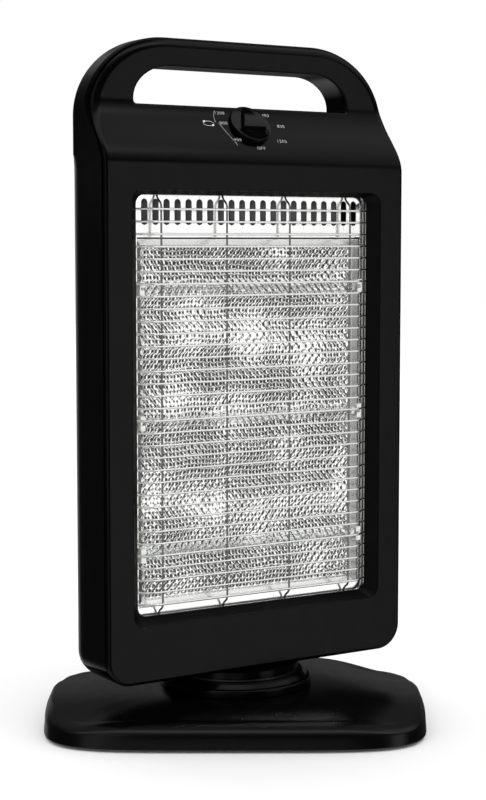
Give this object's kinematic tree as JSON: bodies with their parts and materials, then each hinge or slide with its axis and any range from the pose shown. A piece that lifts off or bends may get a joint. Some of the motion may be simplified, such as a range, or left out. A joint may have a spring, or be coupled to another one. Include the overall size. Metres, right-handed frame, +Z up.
{
  "type": "halogen heater",
  "caption": "Upright floor heater with a wire-guarded mirror reflector and quartz lamps, a carrying handle and dial, swinging on a low domed base.",
  "frame": {"origin": "on the swing axis at floor level, under the middle of the base", "axes": "+Z up; the head's front faces -Y and its width runs along X; the base is turned 32 degrees clockwise from the head as seen from above"},
  "size_m": [0.327, 0.303, 0.5275],
  "materials": {
    "black_casing": "smooth gloss black moulding",
    "knob_plastic": "satin black moulding",
    "under_plastic": "matt black moulding",
    "mirror_sheet": "bright polished sheet, embossed in the tray",
    "zinc_sheet": "dull zinc-plated steel",
    "ballast_steel": "plain dark weight plate",
    "chrome_wire": "bright chromed wire",
    "screw_steel": "plated steel",
    "quartz": "clear to lightly frosted quartz tube",
    "filament_wire": "dull grey coiled wire",
    "ceramic": "off-white unglazed ceramic",
    "rubber": "matt black rubber",
    "white_plastic": "off-white moulding"
  },
  "bodies": {
    "base": {"base_cover": "black_casing", "swivel_seat": "black_casing", "base_plate": "under_plastic", "pivot_tube": "zinc_sheet", "retaining_nut": "zinc_sheet", "ballast_plate": "ballast_steel", "base_screw_1": "screw_steel", "base_screw_2": "screw_steel", "base_screw_3": "screw_steel", "base_screw_4": "screw_steel", "plunger_spring": "screw_steel", "rubber_foot_1": "rubber", "rubber_foot_2": "rubber", "rubber_foot_3": "rubber", "rubber_foot_4": "rubber", "cord_gland": "rubber", "slide_ring": "white_plastic", "plunger_housing": "white_plastic"},
    "head": {"front_shell": "black_casing", "rear_shell": "black_casing", "neck_collar": "black_casing", "reflector_frame": "mirror_sheet", "reflector_pan": "mirror_sheet", "heat_shield": "zinc_sheet", "holder_bracket_left": "zinc_sheet", "holder_bracket_right": "zinc_sheet", "swing_motor": "zinc_sheet", "thermal_cutout": "zinc_sheet", "wire_grille": "chrome_wire", "reflector_screw": "screw_steel", "rear_screw_1": "screw_steel", "rear_screw_2": "screw_steel", "rear_screw_3": "screw_steel", "rear_screw_4": "screw_steel", "halogen_tube_1": "quartz", "halogen_tube_2": "quartz", "halogen_tube_3": "quartz", "filament_1": "filament_wire", "filament_2": "filament_wire", "filament_3": "filament_wire", "tube_holder_left_1": "ceramic", "tube_holder_left_2": "ceramic", "tube_holder_left_3": "ceramic", "tube_holder_right_1": "ceramic", "tube_holder_right_2": "ceramic", "tube_holder_right_3": "ceramic", "rotary_switch": "white_plastic", "terminal_block": "white_plastic"},
    "knob": {"control_knob": "knob_plastic"},
    "crank": {"swing_crank": "white_plastic"},
    "link": {"swing_link": "zinc_sheet"},
    "plunger": {"tip_plunger": "under_plastic"}
  },
  "joints": [
    {"name": "head_oscillation", "type": "hinge", "parent": "base", "child": "head", "pos_m": [0, 0, 0.0393], "axis": [0, 0, 1], "range_deg": [-72, 8]},
    {"name": "knob_turn", "type": "hinge", "parent": "head", "child": "knob", "pos_m": [0, -0.02033, 0.4635], "axis": [0, -0.8311, 0.5561], "range_deg": [-120, 120]},
    {"name": "crank_turn", "type": "hinge", "parent": "head", "child": "crank", "pos_m": [0.024, 0, 0.037], "axis": [0, 0, 1], "range_deg": [-14, 115]},
    {"name": "link_swing", "type": "hinge", "parent": "base", "child": "link", "pos_m": [-0.00056, -0.01599, 0.037], "axis": [0, 0, 1], "range_deg": [-83, 11]},
    {"name": "plunger_slide", "type": "slide", "parent": "base", "child": "plunger", "axis": [0, 0, -1], "range_m": [0, 0.004], "stiffness_N_per_m": 100, "springref_m": 0.008, "deforming": ["plunger_spring"]}
  ],
  "couplings": [
    {"joint": "crank_turn", "follows": "head_oscillation", "ratio": -1.569},
    {"joint": "link_swing", "follows": "head_oscillation", "ratio": 1.126}
  ]
}
